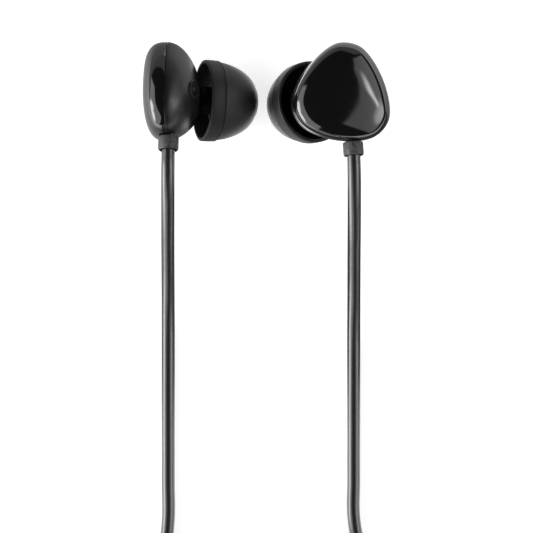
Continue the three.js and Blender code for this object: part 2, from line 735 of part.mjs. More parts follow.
const RIGHT_TAIL = [
  [18.25, -83.4, 8.87], [18.2, -86, 8.75], [17.9, -90, 7.7], [17.1, -95, 5.2],
  [15.6, -100, 2.7], [13.1, -104.8, 1.35], [10, -109.4, 1.07], [7, -113.8, 1.2],
  [4.4, -118, 1.6], [2.5, -122, 2.05], [1.75, -125.6, 2.2], [1.7, -128.4, 2.2],
];
const MAIN_LEAD = [
  [0, -137.6, 2.2], [0, -140.6, 2.2], [-0.5, -143.8, 1.8], [-2.6, -147.8, 1.2],
  [-6, -151.4, 1.07], [-9.9, -154.4, 1.07], [-13, -158, 1.07], [-14.8, -162.3, 1.07],
  [-15.2, -166.6, 1.07],
];
const MAIN_TAIL = [
  [15.28, -166.6, 8.87], [15.36, -164, 8.82], [15.5, -161, 8.1], [15.8, -157.5, 6.5],
  [16.1, -153.5, 4.5], [16.3, -150, 3.3], [16.4, -147.2, 2.92], [16.4, -141.6, 2.92],
];

function cords(group) {
  for (const [name, coil] of [["left", LEFT_COIL], ["right", RIGHT_COIL], ["main", MAIN_COIL]]) {
    const points = coilPoints(coil);
    console.log(`${name} coil: least gap to itself ${leastGap(points).toFixed(2)} mm`);
    addPiece(group, `${name}_cord_coil`, sweepCord(points, COIL_SIDES), CORD);
  }
  addPiece(group, "left_cord_run", routeCord(LEFT_RUN), CORD);
  addPiece(group, "right_cord_run", routeCord(RIGHT_RUN), CORD);
  addPiece(group, "left_cord_tail", routeCord(LEFT_TAIL), CORD);
  addPiece(group, "right_cord_tail", routeCord(RIGHT_TAIL), CORD);
  addPiece(group, "main_cord_lead", routeCord(MAIN_LEAD), CORD);
  addPiece(group, "main_cord_tail", routeCord(MAIN_TAIL), CORD);
}

// --- splitter ----------------------------------------------------------------------------------

// Tapered block with eased edges, as wide as two cords at one end and one at the other.
function splitterBlock() {
  const front = SPLIT_WIDTH / 2 - SPLIT_EDGE;
  const back = SPLIT_NARROW / 2 - SPLIT_EDGE;
  const half = SPLIT_LENGTH / 2 - SPLIT_EDGE;
  const shape = new THREE.Shape();
  shape.moveTo(-front, half - 1);
  shape.quadraticCurveTo(-front, half, -front + 1, half);
  shape.lineTo(front - 1, half);
  shape.quadraticCurveTo(front, half, front, half - 1);
  shape.lineTo(back, -half + 0.8);
  shape.quadraticCurveTo(back, -half, back - 0.8, -half);
  shape.lineTo(-back + 0.8, -half);
  shape.quadraticCurveTo(-back, -half, -back, -half + 0.8);
  const depth = SPLIT_HEIGHT - 2 * SPLIT_EDGE;
  const bevel = { bevelSize: SPLIT_EDGE, bevelThickness: SPLIT_EDGE, bevelSegments: 2 };
  return new THREE.ExtrudeGeometry(shape, { depth, steps: 1, curveSegments: 4, ...bevel })
    .translate(0, 0, SPLIT_EDGE);
}

function splitterSockets() {
  const side = SPLIT_INLET_SPACING / 2;
  const end = SPLIT_LENGTH / 2;
  return [[-side, end], [side, end], [0, -end]].map(([x, y]) => (
    rod(CORD_BORE, SPLIT_SOCKET * 2, 16).translate(x, y, SPLIT_HEIGHT / 2)));
}

function slab(low, high) {
  const size = SPLIT_LENGTH * 2;
  return new THREE.BoxGeometry(size, size, high - low).translate(0, 0, (low + high) / 2);
}

function peg(radius, low, high) {
  return rod(radius, high - low, 12).rotateX(Math.PI / 2).translate(0, 0, (low + high) / 2);
}

function splitter(group) {
  const middle = SPLIT_HEIGHT / 2;
  const block = cut(splitterBlock(), ...splitterSockets());
  const base = overlap(block, slab(-1, middle - SPLIT_GAP / 2));
  const cover = overlap(block, slab(middle + SPLIT_GAP / 2, SPLIT_HEIGHT + 1));
  const pegTop = middle + PEG_HEIGHT;
  const withPeg = join(base, peg(PEG_RADIUS, middle - 1, pegTop));
  const withHole = cut(cover, peg(PEG_RADIUS + PEG_CLEARANCE, middle - 1, pegTop + PEG_CLEARANCE));
  for (const piece of [addPiece(group, "y_split_base", withPeg, HOUSING),
    addPiece(group, "y_split_cover", withHole, HOUSING)]) {
    piece.position.set(...SPLIT_PLACE, 0);
  }
}

// --- plug --------------------------------------------------------------------------------------

// Contacts of the plug in order from the grip, each as a revolved profile from its own start.
function contactProfiles() {
  const pin = PIN_RADIUS;
  const neck = pin * 0.68;
  const insulator = plate(pin - 0.05, 0, INSULATOR_LENGTH);
  return [
    ["plug_sleeve", FLANGE_THICKNESS + SLEEVE_LENGTH, PLATED, [
      [0, 0], [FLANGE_RADIUS, 0], [FLANGE_RADIUS, FLANGE_THICKNESS], [pin, FLANGE_THICKNESS],
      [pin, FLANGE_THICKNESS + SLEEVE_LENGTH], [0, FLANGE_THICKNESS + SLEEVE_LENGTH],
    ]],
    ["plug_rear_insulator", INSULATOR_LENGTH, GLOSS, insulator],
    ["plug_ring", RING_LENGTH, PLATED, plate(pin, 0, RING_LENGTH)],
    ["plug_front_insulator", INSULATOR_LENGTH, GLOSS, insulator],
    ["plug_tip", PLUG_TIP_LENGTH, PLATED, [
      [0, 0], [pin, 0], [pin, PLUG_TIP_LENGTH * 0.27], [neck, PLUG_TIP_LENGTH * 0.42],
      [pin * 0.93, PLUG_TIP_LENGTH * 0.57], [pin * 0.93, PLUG_TIP_LENGTH * 0.66],
      [pin * 0.3, PLUG_TIP_LENGTH * 0.97], [0, PLUG_TIP_LENGTH],
    ]],
  ];
}

function gripGeometry() {
  const grooves = [];
  for (let i = 0; i < GRIP_GROOVES; i += 1) {
    const at = -GRIP_LENGTH * 0.45 - i * GRIP_GROOVE * 2;
    grooves.push(
      [GRIP_RADIUS, at], [GRIP_RADIUS - GRIP_GROOVE / 3, at - GRIP_GROOVE * 0.25],
      [GRIP_RADIUS - GRIP_GROOVE / 3, at - GRIP_GROOVE * 0.75], [GRIP_RADIUS, at - GRIP_GROOVE],
    );
  }
  return revolve([
    [0, -PIN_GAP], [GRIP_RADIUS - 0.25, -PIN_GAP], [GRIP_RADIUS, -0.35],
    ...grooves,
    [GRIP_RADIUS, -GRIP_LENGTH + 1.4], [GRIP_RADIUS - 0.6, -GRIP_LENGTH],
    [RELIEF_NECK + CORD_CLEARANCE, -GRIP_LENGTH],
    [RELIEF_NECK + CORD_CLEARANCE, -GRIP_LENGTH + RELIEF_SEAT],
    [0, -GRIP_LENGTH + RELIEF_SEAT],
  ], 16);
}

// Ribbed sleeve behind the grip, thinner toward the cord, with a socket for the cord's end.
function reliefGeometry() {
  const start = -GRIP_LENGTH - 0.15;
  const pitch = RELIEF_LENGTH / RELIEF_RIBS;
  const ribs = [];
  for (let i = 0; i < RELIEF_RIBS; i += 1) {
    const radius = RELIEF_RADIUS - i * RELIEF_TAPER;
    const at = start - i * pitch;
    ribs.push([radius, at], [radius, at - pitch * 0.6]);
    ribs.push([radius - RELIEF_TAPER, at - pitch * 0.66], [radius - RELIEF_TAPER, at - pitch * 0.94]);
  }
  const end = start - RELIEF_LENGTH;
  return revolve([
    [0, start + RELIEF_SEAT - END_GAP], [RELIEF_NECK, start + RELIEF_SEAT - END_GAP],
    [RELIEF_NECK, start], ...ribs, [CORD_BORE + 0.2, end], [CORD_BORE, end],
    [CORD_BORE, end + RELIEF_SOCKET], [0, end + RELIEF_SOCKET],
  ], 14);
}

function plug(group) {
  const height = GRIP_RADIUS + 0.02;
  const body = new THREE.Group();
  body.position.set(...PLUG_PLACE, height);
  addPiece(body, "plug_strain_relief", reliefGeometry(), HOUSING);
  addPiece(body, "plug_grip", gripGeometry(), HOUSING);
  let along = 0;
  for (const [name, length, material, profile] of contactProfiles()) {
    addPiece(body, name, revolve(profile, 16), material).position.y = along;
    along += length + PIN_GAP;
  }
  group.add(body);
}

const earphones = new THREE.Group();
earphones.name = "wired_earphones";
earphones.add(bud("left", LEFT_BUD));
earphones.add(bud("right", RIGHT_BUD));
cords(earphones);
splitter(earphones);
plug(earphones);

export default earphones;
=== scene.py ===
# Wired in-ear earphones lying on a white table, seen straight from above. Sizes in metres.
import math

import bmesh
import bpy
from mathutils import Matrix, Vector


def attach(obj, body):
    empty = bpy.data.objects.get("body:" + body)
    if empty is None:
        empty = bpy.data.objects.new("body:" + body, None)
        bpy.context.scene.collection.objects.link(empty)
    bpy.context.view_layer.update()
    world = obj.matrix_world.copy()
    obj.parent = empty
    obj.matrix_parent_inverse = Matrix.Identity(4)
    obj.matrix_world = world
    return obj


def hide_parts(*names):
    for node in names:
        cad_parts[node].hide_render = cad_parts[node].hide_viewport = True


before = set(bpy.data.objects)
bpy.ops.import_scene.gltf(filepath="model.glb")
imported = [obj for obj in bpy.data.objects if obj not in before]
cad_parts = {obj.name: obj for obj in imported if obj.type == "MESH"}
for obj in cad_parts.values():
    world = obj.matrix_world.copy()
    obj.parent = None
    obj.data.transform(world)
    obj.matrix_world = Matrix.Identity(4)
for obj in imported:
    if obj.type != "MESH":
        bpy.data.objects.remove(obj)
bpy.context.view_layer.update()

# --- Table -------------------------------------------------------------------------------------
# A plain white table top, which burns out to white for the camera. To gloss and metal it is instead a
# glowing sheet of painted light and shade: soft bands of emission, bright in some places and dark in
# others.
TABLE_SIZE = 3.0
TABLE_WHITE = 0.86
CAMERA_GLOW = 0.7

bpy.ops.mesh.primitive_plane_add(size=TABLE_SIZE)
table = bpy.context.object
table.name = "white_table"


def node(tree, kind, **settings):
    """A new shader node with its sockets or properties set by name."""
    made = tree.nodes.new(kind)
    for key, value in settings.items():
        if key in made.inputs:
            made.inputs[key].default_value = value
        else:
            setattr(made, key, value)
    return made


def combine(operation, first, *others):
    """Adds up, multiplies or compares levels, which are numbers or other nodes' outputs."""
    for other in others:
        made = node(tree, "ShaderNodeMath", operation=operation)
        for socket, value in zip(made.inputs, (first, other)):
            if isinstance(value, (int, float)):
                socket.default_value = value
            else:
                tree.links.new(value, socket)
        first = made.outputs[0]
    return first


def along_table(axis, near, far, low, high):
    """A level that goes softly from low to high between two places on the table."""
    level = node(tree, "ShaderNodeMapRange", interpolation_type="SMOOTHSTEP")
    for key, value in zip(("From Min", "From Max", "To Min", "To Max"), (near, far, low, high)):
        level.inputs[key].default_value = value
    tree.links.new(spot.outputs[axis], level.inputs["Value"])
    return level.outputs[0]


table_paint = bpy.data.materials.new("white_table_top")
table_paint.use_nodes = True
tree = table_paint.node_tree
tree.nodes.clear()
rays = node(tree, "ShaderNodeLightPath")
spot = node(tree, "ShaderNodeSeparateXYZ")
tree.links.new(node(tree, "ShaderNodeNewGeometry").outputs["Position"], spot.inputs[0])
paper = node(tree, "ShaderNodeBsdfDiffuse", Color=(TABLE_WHITE, TABLE_WHITE, TABLE_WHITE, 1))
glow = node(tree, "ShaderNodeEmission", Color=(1, 1, 1, 1))
tree.links.new(combine("MULTIPLY", rays.outputs["Is Camera Ray"], CAMERA_GLOW), glow.inputs["Strength"])
seen = node(tree, "ShaderNodeAddShader")
tree.links.new(paper.outputs[0], seen.inputs[0])
tree.links.new(glow.outputs[0], seen.inputs[1])

# Painted light and shade, seen only in reflections: emission that rises behind the buds, to the right,
# to the left, beside the cords and in a bright patch between the tips, with a painted shadow below the
# buds.
behind_buds = combine("MULTIPLY", along_table("X", -0.014, 0.004, 0.0, 0.6),
                      along_table("Y", 0.0, 0.03, 0.2, 1.0))
right_side = along_table("X", 0.03, 0.08, 0.48, 0.8)
painted_shade_below_buds = combine("MULTIPLY", along_table("Y", -0.05, -0.035, 0.0, 0.8),
                     along_table("Y", -0.014, -0.002, 1.0, 0.0),
                     along_table("X", -0.02, 0.0, 0.0, 1.0))
near_side = combine("MULTIPLY", combine("ADD", behind_buds, right_side),
                    combine("SUBTRACT", 1.0, painted_shade_below_buds))
left_side = combine("MULTIPLY", along_table("X", -0.07, -0.015, 1.5, 0.0),
                    along_table("Y", 0.012, 0.036, 1.0, 0.0))
beside_cords = along_table("Y", -0.055, -0.04, 1.1, 0.0)
painted_glow_between_tips = combine("MULTIPLY", along_table("X", -0.009, -0.002, 0.0, 2.8),
                       along_table("X", 0.002, 0.008, 1.0, 0.0),
                       along_table("Y", -0.018, -0.009, 0.0, 1.0),
                       along_table("Y", 0.006, 0.014, 1.0, 0.0))
# The painted reflection: a glow that only glossy and transmission rays see, at the levels above.
painted_reflection = node(tree, "ShaderNodeEmission", Color=(1, 1, 1, 1))
tree.links.new(combine("ADD", near_side, left_side, beside_cords, painted_glow_between_tips),
               painted_reflection.inputs["Strength"])
choose = node(tree, "ShaderNodeMixShader")
surface = node(tree, "ShaderNodeOutputMaterial")
tree.links.new(combine("MAXIMUM", rays.outputs["Is Glossy Ray"], rays.outputs["Is Transmission Ray"]),
               choose.inputs[0])
tree.links.new(seen.outputs[0], choose.inputs[1])
tree.links.new(painted_reflection.outputs[0], choose.inputs[2])
tree.links.new(choose.outputs[0], surface.inputs["Surface"])
table.data.materials.append(table_paint)

# --- Lamps -------------------------------------------------------------------------------------
# Three softboxes in a dark room: one on the left with two hot lamps inside, one on the right with
# a bright streak and a glow low down, and a faint one behind. The camera sees white past them.
LEFT_LEVEL = 1.5
LEFT_LAMPS = 6.3
RIGHT_LEVEL = 0.65
RIGHT_MIDDLE = 0.6
RIGHT_STREAK = 6.0
RIGHT_GLOW = 2.2
BACK_LEVEL = 0.34
ROOM_LEVEL = 0.04

room = bpy.data.worlds.new("photo_room")
bpy.context.scene.world = room
room.use_nodes = True
tree = room.node_tree
tree.nodes.clear()
ray = node(tree, "ShaderNodeTexCoord").outputs["Generated"]


def toward(direction, soft, offset=0.0):
    """1 where a ray lies further toward a direction than offset, else 0, with a soft edge."""
    side = node(tree, "ShaderNodeVectorMath", operation="DOT_PRODUCT")
    tree.links.new(ray, side.inputs[0])
    side.inputs[1].default_value = Vector(direction).normalized()
    fade = node(tree, "ShaderNodeMapRange", interpolation_type="SMOOTHSTEP")
    fade.inputs["From Min"].default_value = offset - soft
    fade.inputs["From Max"].default_value = offset + soft
    tree.links.new(side.outputs["Value"], fade.inputs["Value"])
    return fade.outputs[0]


def softbox(level, soft, *edges):
    """A lit face, bounded by the planes through its edges and the object."""
    return combine("MULTIPLY", level, *(toward(edge, soft) for edge in edges))


hot_lamps = combine("MAXIMUM", toward((-0.979, -0.111, 0.168), 0.03, 0.95),
                    toward((-0.847, -0.53, 0.035), 0.03, 0.95))
left_box = softbox(combine("ADD", combine("MULTIPLY", hot_lamps, LEFT_LAMPS), LEFT_LEVEL), 0.025,
                   (-0.766, -0.322, -0.556), (-0.576, -0.768, 0.279), (-0.860, 0.236, 0.240))
streak = combine("MULTIPLY", toward((0.347, 0.671, -0.654), 0.07, -0.03), RIGHT_STREAK,
                 toward((-0.347, -0.671, 0.654), 0.07, -0.07),
                 toward((0.741, 0.235, 0.629), 0.011, 0.984))
low_glow = combine("MULTIPLY", toward((0.93, -0.08, 0.37), 0.035, 0.96), RIGHT_GLOW)
right_level = combine("ADD", combine("MULTIPLY", toward((1, 0, 0), 0.25, 0.75), RIGHT_MIDDLE),
                      RIGHT_LEVEL, low_glow, streak)
right_box = softbox(right_level, 0.022, (0.843, -0.227, -0.487), (-0.225, 0, 0.974),
                    (0.663, -0.723, 0.198), (0.813, 0.569, -0.121))
back_box = softbox(BACK_LEVEL, 0.025, (0.284, 0.329, -0.9), (-0.414, 0.403, -0.197))
walls = node(tree, "ShaderNodeBackground", Color=(1, 1, 1, 1))
white = node(tree, "ShaderNodeBackground", Color=(1, 1, 1, 1), Strength=1.0)
rays = node(tree, "ShaderNodeLightPath")
choose = node(tree, "ShaderNodeMixShader")
room_out = node(tree, "ShaderNodeOutputWorld")
tree.links.new(combine("ADD", left_box, right_box, back_box, ROOM_LEVEL), walls.inputs["Strength"])
tree.links.new(rays.outputs["Is Camera Ray"], choose.inputs[0])
tree.links.new(walls.outputs[0], choose.inputs[1])
tree.links.new(white.outputs[0], choose.inputs[2])
tree.links.new(choose.outputs[0], room_out.inputs["Surface"])

# --- Camera ------------------------------------------------------------------------------------
# A long lens that hangs straight above the table and looks down at it, so that the cords run down
# the picture and leave it at its lower edge.
CAMERA_PLACE = (0.00003, -0.026145, 0.474)
CAMERA_LENS = 200
CAMERA_SENSOR = 36

camera = bpy.data.objects.new("camera", bpy.data.cameras.new("camera"))
bpy.context.scene.collection.objects.link(camera)
camera.location = CAMERA_PLACE
camera.data.lens = CAMERA_LENS
camera.data.sensor_width = CAMERA_SENSOR
camera.data.clip_start = 0.01
camera.data.clip_end = 10
bpy.context.scene.camera = camera
bpy.context.scene.view_settings.view_transform = "Standard"

# --- Back caps ---------------------------------------------------------------------------------
# Rounded-triangle shells of gloss black ABS, injection moulded and polished. They snap over the
# lip of the housing, and leave a hairline seam.
FACE_RADIUS = 0.007761
FACE_WAVES = (-0.0022, 0.000076, 0.000678, 0, -0.000033, -0.000094)
SHELL_WALL = 0.0009
SEAM_GAP = 0.00009
CAP_DEPTH = 0.003705
CAP_FULLNESS = 2.824
CAP_OUTER_RINGS = 27
CAP_INNER_RINGS = 10
RIM_EASE = 0.00004
FACE_STEPS = 144
NECK_DROP = 0.002504
NECK_OFFSET = 0.002806
NOZZLE_TURN = 0.2958
EXIT_ALONG = 0.000533
EXIT_LEAN = 0.178


def bud_place(place, turn):
    """Where a bud lies, and how it is turned about its three axes."""
    turned = (Matrix.Rotation(turn[2], 4, "Z") @ Matrix.Rotation(turn[0], 4, "X")
              @ Matrix.Rotation(turn[1], 4, "Y"))
    return Matrix.Translation(place) @ turned


BUDS = {
    "left": bud_place((-0.015561, 0.002876, 0.00949), (-0.0803, -0.0218, -0.0148)),
    "right": bud_place((0.012005, 0.002572, 0.01262), (-0.1683, 1.8016, -0.1045)),
}


def face_point(angle, scale, inset, roundness):
    """A point of the face outline, scaled, set in by a wall, and rounded toward the neck."""
    waves = list(enumerate(FACE_WAVES, 1))
    reach = FACE_RADIUS + sum(size * math.cos(n * angle) for n, size in waves)
    slope = -sum(size * n * math.sin(n * angle) for n, size in waves)
    up = reach * math.cos(angle) - slope * math.sin(angle)
    side = reach * math.sin(angle) + slope * math.cos(angle)
    up += (FACE_RADIUS * math.cos(angle) - up) * roundness
    side += (FACE_RADIUS * math.sin(angle) - side) * roundness
    return scale * up - inset * math.cos(angle), scale * side - inset * math.sin(angle)


def shell_point(angle, along, scale, inset, bend=0.0, width=1.0):
    """A point of the shell, along its axis from the seam, and turned onto the neck by bend."""
    up, side = face_point(angle, scale, inset, bend)
    up, side = up * width, side * width
    return Vector((
        along + side * math.sin(NOZZLE_TURN * bend),
        up - NECK_DROP * bend,
        side * math.cos(NOZZLE_TURN * bend) - NECK_OFFSET * bend,
    ))


def ring_of(point_at):
    """Points all the way round, each given by its angle."""
    return [point_at(i / FACE_STEPS * 2 * math.pi) for i in range(FACE_STEPS)]


def shell_ring(along, scale, inset, width=1.0):
    return ring_of(lambda angle: shell_point(angle, along, scale, inset, 0.0, width))


def fan(build, loop):
    """Closes a ring with faces around a point in its middle."""
    hub = build.verts.new(sum((v.co for v in loop), Vector()) / len(loop))
    for i in range(len(loop)):
        build.faces.new((hub, loop[i], loop[(i + 1) % len(loop)]))


def skin(name, rings, closed):
    """Joins rings of points into one closed mesh, capped at its ends or joined end to start."""
    mesh = bpy.data.meshes.new(name)
    build = bmesh.new()
    loops = [[build.verts.new(point) for point in ring] for ring in rings]
    spans = list(zip(loops, loops[1:])) + ([(loops[-1], loops[0])] if closed else [])
    for near, far in spans:
        for i in range(len(near)):
            k = (i + 1) % len(near)
            build.faces.new((near[i], near[k], far[k], far[i]))
    if not closed:
        fan(build, loops[0])
        fan(build, loops[-1])
    bmesh.ops.recalc_face_normals(build, faces=build.faces)
    if build.calc_volume(signed=True) < 0:
        bmesh.ops.reverse_faces(build, faces=build.faces)
    for face in build.faces:
        face.smooth = True
    build.to_mesh(mesh)
    build.free()
    made = bpy.data.objects.new(name, mesh)
    bpy.context.scene.collection.objects.link(made)
    return made


def merge(piece, *others):
    """Adds other closed skins to a piece and uses them up."""
    build = bmesh.new()
    for part in (piece, *others):
        build.from_mesh(part.data)
    build.to_mesh(piece.data)
    build.free()
    for part in others:
        bpy.data.objects.remove(part)
    return piece


def sharpen(piece, degrees):
    """Smooth all over, except where faces meet at more than these degrees."""
    piece.data.polygons.foreach_set("use_smooth", [True] * len(piece.data.polygons))
    piece.data.set_sharp_from_angle(angle=math.radians(degrees))


def turned_piece(name, profile, steps, axis="Y"):
    """A closed profile of (radius, height) turned about an axis."""
    rings = []
    for radius, height in profile:
        ring = []
        for i in range(steps):
            angle = i / steps * 2 * math.pi
            across, over = radius * math.cos(angle), radius * math.sin(angle)
            ring.append(Vector((across, height, over)) if axis == "Y"
                        else Vector((height, across, over)))
        rings.append(ring)
    return skin(name, rings, True)


def at_exit(piece):
    """Moves a piece made about the origin to where the cord leaves the shell."""
    up, out = face_point(math.pi - EXIT_LEAN, 1, 0, 0)
    piece.data.transform(Matrix.Translation((EXIT_ALONG, up, out))
                         @ Matrix.Rotation(-EXIT_LEAN, 4, "X"))
    return piece


def set_in_bud(piece, side, body="earphones"):
    """Lays a piece where its bud lies, and lets it ride on its body."""
    piece.data.transform(BUDS[side])
    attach(piece, body)
    return piece


def paint_with(name, settings):
    """A new material, its shader set, and the piece's own coordinates to spread grain by."""
    paint = bpy.data.materials.new(name)
    paint.use_nodes = True
    tree = paint.node_tree
    shader = tree.nodes["Principled BSDF"]
    for key, value in settings.items():
        shader.inputs[key].default_value = value
    return paint, tree, shader, node(tree, "ShaderNodeTexCoord").outputs["Object"]


def grain(tree, place, **settings):
    """A level of fine noise that is fixed to the piece."""
    speckle = node(tree, "ShaderNodeTexNoise", **settings)
    tree.links.new(place, speckle.inputs["Vector"])
    return speckle.outputs[0]


def vary_shine(tree, shader, level, low, high):
    """Roughness that goes from low to high with the grain."""
    shine = node(tree, "ShaderNodeMapRange")
    shine.inputs["To Min"].default_value = low
    shine.inputs["To Max"].default_value = high
    tree.links.new(level, shine.inputs["Value"])
    tree.links.new(shine.outputs[0], shader.inputs["Roughness"])


def vary_tone(tree, shader, level, dark, light, stops=(0.0, 1.0)):
    """Colour that goes from dark to light with the grain."""
    tint = node(tree, "ShaderNodeValToRGB")
    for stop, place_at, colour in zip(tint.color_ramp.elements, stops, (dark, light)):
        stop.position = place_at
        stop.color = (*colour, 1)
    tree.links.new(level, tint.inputs[0])
    tree.links.new(tint.outputs[0], shader.inputs["Base Color"])


def emboss(tree, shader, level, strength, depth):
    """Grain that stands up from the surface."""
    relief = node(tree, "ShaderNodeBump", Strength=strength, Distance=depth)
    tree.links.new(level, relief.inputs["Height"])
    tree.links.new(relief.outputs[0], shader.inputs["Normal"])


def gloss_black():
    """Polished moulded black: deep colour, sharp reflections, a little dust and faint swirls."""
    paint, tree, shader, place = paint_with("gloss_back", {
        "Base Color": (0.003, 0.003, 0.0032, 1), "IOR": 1.5, "Specular IOR Level": 1.0})
    vary_shine(tree, shader, grain(tree, place, Scale=900, Detail=4, Roughness=0.6), 0.05, 0.11)
    emboss(tree, shader, grain(tree, place, Scale=160, Detail=1), 0.05, 0.00005)
    return paint


gloss_back = gloss_black()


def cap_section(step, steps):
    """Width and height of the cap's rounded section at a step from its rim to its crown."""
    part = step / steps * math.pi / 2
    return math.cos(part) ** (2 / CAP_FULLNESS), math.sin(part) ** (2 / CAP_FULLNESS)


def back_cap(side):
    rim = -SEAM_GAP / 2
    rise = CAP_DEPTH + rim
    outer = [shell_ring(rim, 1, RIM_EASE), shell_ring(rim - RIM_EASE * 0.3, 1, RIM_EASE * 0.3)]
    for i in range(CAP_OUTER_RINGS):
        width, height = cap_section(i, CAP_OUTER_RINGS)
        outer.append(shell_ring(rim - RIM_EASE - (rise - RIM_EASE) * height, width, 0))
    inner = []
    for i in range(CAP_INNER_RINGS):
        width, height = cap_section(i, CAP_INNER_RINGS)
        inner.append(shell_ring(rim - (rise - SHELL_WALL) * height, 1, SHELL_WALL, width))
    cap = skin(f"{side}_cap", outer[::-1] + inner, False)
    sharpen(cap, 40)
    cap.data.materials.append(gloss_back)
    set_in_bud(cap, side)
    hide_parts(f"{side}_back_cap")


back_cap("left")
back_cap("right")

# --- Front housings ----------------------------------------------------------------------------
# Matte black ABS shells that narrow to a neck and an angled nozzle with a barb. A thin lip inside
# the seam centres the cap, and a small raised round tells which way round the bud is.
HOUSING_DEPTH = 0.00456
TAPER_PART_USED = 0.9434
TAPER_START = 1.834
TAPER_END = 0.4045
NECK_BEND = 2.167
LIP_CLEARANCE = 0.00025
LIP_WALL = 0.00055
LIP_HEIGHT = 0.0006
NOZZLE_LENGTH = 0.0064
NOZZLE_RADIUS = 0.0022
NOZZLE_BORE = 0.0016
BARB_RADIUS = 0.0025
BARB_LENGTH = 0.0014
MARK_PART = 0.78
MARK_ANGLE = 1.384
MARK_RADIUS = 0.0015
MARK_RIM = 0.0003
MARK_HEIGHT = 0.00015
MARK_DOT = 0.00035
MARK_EASE = 0.00005
MARK_FLOOR = 0.00003
MARK_ROOT = -0.0005
AXIS_GAP = 0.00001
HOUSING_RINGS = 40
SHOULDER_RADIUS = 0.0027
BARB_SLOPE = 0.00015


def housing_point(angle, part, inset):
    """A point of the housing, from the seam (part 0) to the neck (part 1)."""
    scale = (1 - (TAPER_PART_USED * part) ** TAPER_START) ** TAPER_END
    along = SEAM_GAP / 2 + (HOUSING_DEPTH - SEAM_GAP / 2) * part
    return shell_point(angle, along, scale, inset, part ** NECK_BEND)


def housing_ring(part, inset):
    return ring_of(lambda angle: housing_point(angle, part, inset))


def along_nozzle():
    """Turns a piece made along the shell's axis onto the nozzle's, at the end of the neck."""
    return (Matrix.Translation((HOUSING_DEPTH, -NECK_DROP, -NECK_OFFSET))
            @ Matrix.Rotation(NOZZLE_TURN, 4, "Y"))


def nozzle_ring(distance, radius):
    turn = along_nozzle()
    return ring_of(lambda angle: turn @ Vector(
        (distance, radius * math.cos(angle), radius * math.sin(angle))))


def moulded_matte(name, tone, fine, rough, mottle=0.13, spread=700):
    """Spark-eroded moulded plastic: fine even grain and a slight unevenness of sheen."""
    paint, tree, shader, place = paint_with(name, {"IOR": 1.5, "Specular IOR Level": 0.6})
    cloud = grain(tree, place, Scale=spread, Detail=3)
    dark, light = (
        (tone * (1 + shade), tone * (1 + shade), tone * (1.01 + shade)) for shade in (-mottle, mottle))
    vary_tone(tree, shader, cloud, dark, light, (0.34, 0.66))
    vary_shine(tree, shader, cloud, rough - 0.05, rough + 0.06)
    emboss(tree, shader, grain(tree, place, Scale=fine, Detail=5, Roughness=0.65), 0.15, 0.00002)
    return paint


matte_housing = moulded_matte("matte_housing", 0.007, 9000, 0.34)


def raised_mark():
    """Bare round rim with a raised dot, for feeling which way round the bud is."""
    at = housing_point(MARK_ANGLE, MARK_PART, 0)
    next_along = housing_point(MARK_ANGLE, MARK_PART + 0.02, 0) - at
    next_round = housing_point(MARK_ANGLE + 0.05, MARK_PART, 0) - at
    outward = next_along.cross(next_round).normalized()
    if outward.x < 0:
        outward = -outward
    inner_rim = MARK_RADIUS - MARK_RIM
    profile = [
        (AXIS_GAP, MARK_ROOT), (MARK_RADIUS, MARK_ROOT), (MARK_RADIUS, MARK_HEIGHT - MARK_EASE),
        (MARK_RADIUS - MARK_EASE, MARK_HEIGHT), (inner_rim, MARK_HEIGHT),
        (inner_rim - MARK_EASE, MARK_FLOOR), (MARK_DOT, MARK_FLOOR),
        (MARK_DOT * 0.75, MARK_HEIGHT * 0.8), (AXIS_GAP, MARK_HEIGHT),
    ]
    disc = turned_piece("mark", profile, 48)
    turn = Vector((0, 1, 0)).rotation_difference(outward).to_matrix().to_4x4()
    disc.data.transform(Matrix.Translation(at) @ turn)
    return disc


def seam_lip():
    """Thin lip inside the seam that centres the cap."""
    inset = SHELL_WALL + LIP_CLEARANCE
    root = SEAM_GAP / 2 + 0.0005
    top = -SEAM_GAP / 2 - LIP_HEIGHT
    return skin("lip", [
        shell_ring(root, 1, SHELL_WALL - 0.0002), shell_ring(root - 0.0004, 1, inset),
        shell_ring(top, 1, inset), shell_ring(top, 1, inset + LIP_WALL),
        shell_ring(root, 1, inset + LIP_WALL),
    ], True)


def front_housing(side):
    seam = SEAM_GAP / 2
    barb = NOZZLE_LENGTH - BARB_LENGTH
    outer = [shell_ring(seam, 1, RIM_EASE), shell_ring(seam + RIM_EASE * 0.3, 1, RIM_EASE * 0.3)]
    outer += [housing_ring(0.02 + 0.98 * (i / HOUSING_RINGS) ** 0.8, 0)
              for i in range(HOUSING_RINGS + 1)]
    outer += [
        nozzle_ring(0.0003, SHOULDER_RADIUS), nozzle_ring(0.0004, NOZZLE_RADIUS),
        nozzle_ring(barb, NOZZLE_RADIUS), nozzle_ring(barb + BARB_SLOPE, BARB_RADIUS),
        nozzle_ring(NOZZLE_LENGTH - 0.0005, BARB_RADIUS),
        nozzle_ring(NOZZLE_LENGTH, NOZZLE_RADIUS), nozzle_ring(NOZZLE_LENGTH, NOZZLE_BORE),
        nozzle_ring(0.0002, NOZZLE_BORE),
    ]
    inner = [housing_ring(part, SHELL_WALL) for part in (1, 0.86, 0.66, 0.42, 0.2, 0)]
    shell = skin(f"{side}_housing", outer + inner, True)
    merge(shell, seam_lip(), raised_mark())
    sharpen(shell, 35)
    shell.data.materials.append(matte_housing)
    set_in_bud(shell, side)
    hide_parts(f"{side}_front_housing")


front_housing("left")
front_housing("right")

